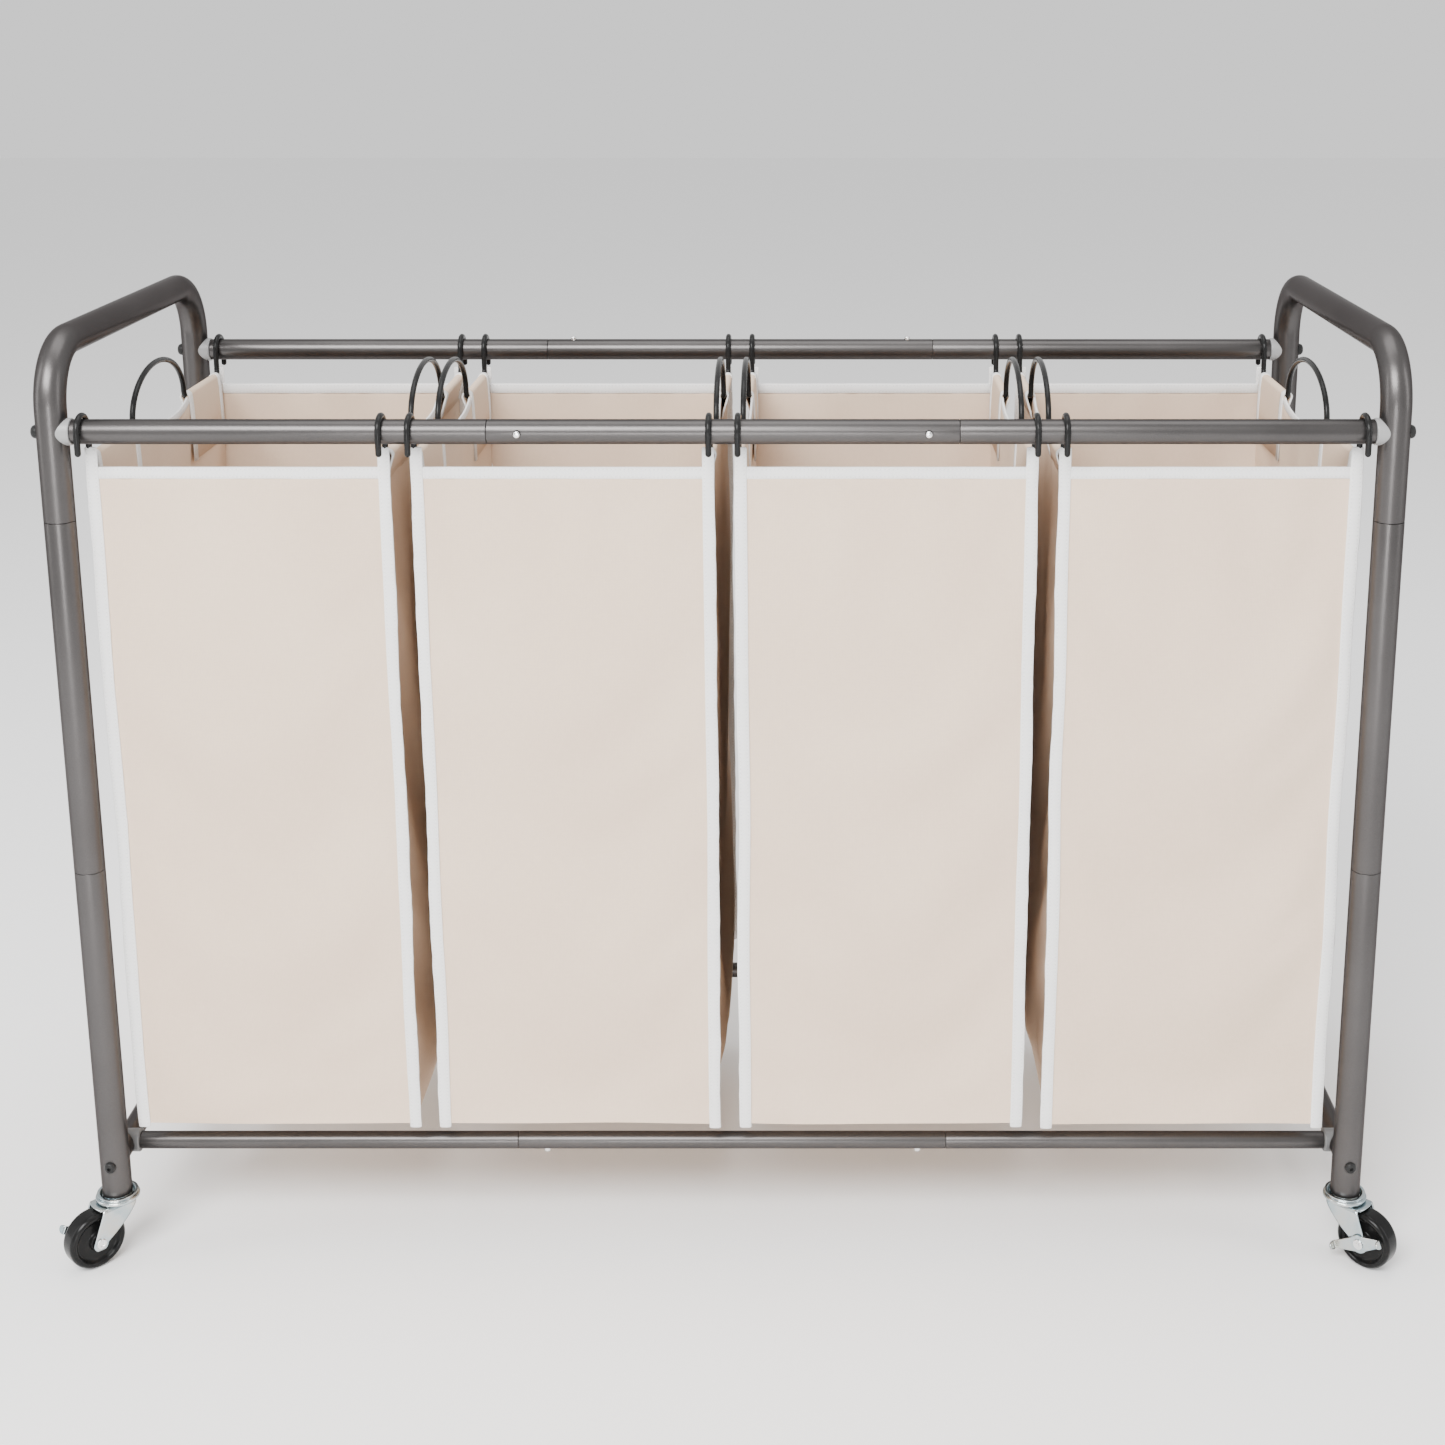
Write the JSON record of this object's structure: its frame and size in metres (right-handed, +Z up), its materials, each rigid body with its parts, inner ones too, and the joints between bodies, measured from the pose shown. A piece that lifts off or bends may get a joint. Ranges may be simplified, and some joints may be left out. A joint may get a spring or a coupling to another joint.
{
  "type": "laundry sorter",
  "caption": "Rolling laundry sorter: fabric bags with wire hangers on a knock-down tube frame with grip arches and swivel casters.",
  "frame": {"origin": "on the floor, in the middle of the frame's four legs", "axes": "+X to the right seen from the front, along the row of bags; the front is towards -Y; +Z up"},
  "size_m": [1.1493, 0.4703, 0.811],
  "materials": {
    "frame_paint": "satin metallic bronze grey powder coat",
    "saddle_plastic": "light grey, satin",
    "zinc": "bright zinc plate",
    "wheel_plastic": "glossy black",
    "bag_fabric": "cream woven polyester with white bound edges",
    "hanger_wire": "black dipped coating, glossy",
    "button_steel": "bright"
  },
  "bodies": {
    "frame": {"arch_left": "frame_paint", "crossbar_left": "frame_paint", "arch_right": "frame_paint", "crossbar_right": "frame_paint", "middle_leg_front_left": "frame_paint", "lower_leg_front_left": "frame_paint", "saddle_front_left": "saddle_plastic", "caster_collar_front_left": "zinc", "middle_leg_rear_left": "frame_paint", "lower_leg_rear_left": "frame_paint", "saddle_rear_left": "saddle_plastic", "caster_collar_rear_left": "zinc", "middle_leg_front_right": "frame_paint", "lower_leg_front_right": "frame_paint", "saddle_front_right": "saddle_plastic", "caster_collar_front_right": "zinc", "middle_leg_rear_right": "frame_paint", "lower_leg_rear_right": "frame_paint", "saddle_rear_right": "saddle_plastic", "caster_collar_rear_right": "zinc", "front_rail_left": "frame_paint", "front_rail_middle": "frame_paint", "front_rail_right": "frame_paint", "rear_rail_left": "frame_paint", "rear_rail_middle": "frame_paint", "rear_rail_right": "frame_paint", "lower_front_rail_left": "frame_paint", "lower_front_rail_middle": "frame_paint", "lower_front_rail_right": "frame_paint", "lower_rear_rail": "frame_paint"},
    "caster_front_left": {"caster_fork_front_left": "zinc"},
    "wheel_front_left": {"caster_wheel_front_left": "wheel_plastic"},
    "brake_front_left": {"brake_lever_front_left": "zinc"},
    "caster_rear_left": {"caster_fork_rear_left": "zinc"},
    "wheel_rear_left": {"caster_wheel_rear_left": "wheel_plastic"},
    "caster_front_right": {"caster_fork_front_right": "zinc"},
    "wheel_front_right": {"caster_wheel_front_right": "wheel_plastic"},
    "brake_front_right": {"brake_lever_front_right": "zinc"},
    "caster_rear_right": {"caster_fork_rear_right": "zinc"},
    "wheel_rear_right": {"caster_wheel_rear_right": "wheel_plastic"},
    "bag_1": {"bag_1": "bag_fabric", "hanger_1_left": "hanger_wire", "hanger_1_right": "hanger_wire"},
    "bag_2": {"bag_2": "bag_fabric", "hanger_2_left": "hanger_wire", "hanger_2_right": "hanger_wire"},
    "bag_3": {"bag_3": "bag_fabric", "hanger_3_left": "hanger_wire", "hanger_3_right": "hanger_wire"},
    "bag_4": {"bag_4": "bag_fabric", "hanger_4_left": "hanger_wire", "hanger_4_right": "hanger_wire"},
    "front_rail_button_left": {"front_rail_button_left": "button_steel"},
    "front_rail_button_right": {"front_rail_button_right": "button_steel"},
    "rear_rail_button_left": {"rear_rail_button_left": "button_steel"},
    "rear_rail_button_right": {"rear_rail_button_right": "button_steel"},
    "lower_front_rail_button_left": {"lower_front_rail_button_left": "button_steel"},
    "lower_front_rail_button_right": {"lower_front_rail_button_right": "button_steel"},
    "lower_rear_rail_button_left": {"lower_rear_rail_button_left": "button_steel"},
    "lower_rear_rail_button_right": {"lower_rear_rail_button_right": "button_steel"}
  },
  "joints": [
    {"name": "swivel_front_left", "type": "hinge", "parent": "frame", "child": "caster_front_left", "pos_m": [-0.532, -0.1925, 0.052], "axis": [0, 0, 1], "continuous": true},
    {"name": "wheel_spin_front_left", "type": "hinge", "parent": "caster_front_left", "child": "wheel_front_left", "pos_m": [-0.54897, -0.20947, 0.025], "axis": [0.7071, -0.7071, 0], "continuous": true},
    {"name": "brake_front_left", "type": "hinge", "parent": "caster_front_left", "child": "brake_front_left", "pos_m": [-0.54897, -0.20947, 0.025], "axis": [0.7071, -0.7071, 0], "range_deg": [0, 28]},
    {"name": "swivel_rear_left", "type": "hinge", "parent": "frame", "child": "caster_rear_left", "pos_m": [-0.532, 0.1925, 0.052], "axis": [0, 0, 1], "continuous": true},
    {"name": "wheel_spin_rear_left", "type": "hinge", "parent": "caster_rear_left", "child": "wheel_rear_left", "pos_m": [-0.54897, 0.20947, 0.025], "axis": [-0.7071, -0.7071, 0], "continuous": true},
    {"name": "swivel_front_right", "type": "hinge", "parent": "frame", "child": "caster_front_right", "pos_m": [0.532, -0.1925, 0.052], "axis": [0, 0, 1], "continuous": true},
    {"name": "wheel_spin_front_right", "type": "hinge", "parent": "caster_front_right", "child": "wheel_front_right", "pos_m": [0.54897, -0.20947, 0.025], "axis": [0.7071, 0.7071, 0], "continuous": true},
    {"name": "brake_front_right", "type": "hinge", "parent": "caster_front_right", "child": "brake_front_right", "pos_m": [0.54897, -0.20947, 0.025], "axis": [0.7071, 0.7071, 0], "range_deg": [0, 28]},
    {"name": "swivel_rear_right", "type": "hinge", "parent": "frame", "child": "caster_rear_right", "pos_m": [0.532, 0.1925, 0.052], "axis": [0, 0, 1], "continuous": true},
    {"name": "wheel_spin_rear_right", "type": "hinge", "parent": "caster_rear_right", "child": "wheel_rear_right", "pos_m": [0.54897, 0.20947, 0.025], "axis": [-0.7071, 0.7071, 0], "continuous": true},
    {"name": "bag_lift_1", "type": "slide", "parent": "frame", "child": "bag_1", "axis": [0, 0, 1], "range_m": [0, 0.7]},
    {"name": "bag_lift_2", "type": "slide", "parent": "frame", "child": "bag_2", "axis": [0, 0, 1], "range_m": [0, 0.7]},
    {"name": "bag_lift_3", "type": "slide", "parent": "frame", "child": "bag_3", "axis": [0, 0, 1], "range_m": [0, 0.7]},
    {"name": "bag_lift_4", "type": "slide", "parent": "frame", "child": "bag_4", "axis": [0, 0, 1], "range_m": [0, 0.7]},
    {"name": "press_front_rail_button_left", "type": "slide", "parent": "frame", "child": "front_rail_button_left", "axis": [0, 1, 0], "range_m": [0, 0.003], "stiffness_N_per_m": 300, "springref_m": -0.002},
    {"name": "press_front_rail_button_right", "type": "slide", "parent": "frame", "child": "front_rail_button_right", "axis": [0, 1, 0], "range_m": [0, 0.003], "stiffness_N_per_m": 300, "springref_m": -0.002},
    {"name": "press_rear_rail_button_left", "type": "slide", "parent": "frame", "child": "rear_rail_button_left", "axis": [0, 0, -1], "range_m": [0, 0.003], "stiffness_N_per_m": 300, "springref_m": -0.002},
    {"name": "press_rear_rail_button_right", "type": "slide", "parent": "frame", "child": "rear_rail_button_right", "axis": [0, 0, -1], "range_m": [0, 0.003], "stiffness_N_per_m": 300, "springref_m": -0.002},
    {"name": "press_lower_front_rail_button_left", "type": "slide", "parent": "frame", "child": "lower_front_rail_button_left", "axis": [0, 0, 1], "range_m": [0, 0.003], "stiffness_N_per_m": 300, "springref_m": -0.002},
    {"name": "press_lower_front_rail_button_right", "type": "slide", "parent": "frame", "child": "lower_front_rail_button_right", "axis": [0, 0, 1], "range_m": [0, 0.003], "stiffness_N_per_m": 300, "springref_m": -0.002},
    {"name": "press_lower_rear_rail_button_left", "type": "slide", "parent": "frame", "child": "lower_rear_rail_button_left", "axis": [0, 0, 1], "range_m": [0, 0.003], "stiffness_N_per_m": 300, "springref_m": -0.002},
    {"name": "press_lower_rear_rail_button_right", "type": "slide", "parent": "frame", "child": "lower_rear_rail_button_right", "axis": [0, 0, 1], "range_m": [0, 0.003], "stiffness_N_per_m": 300, "springref_m": -0.002}
  ]
}
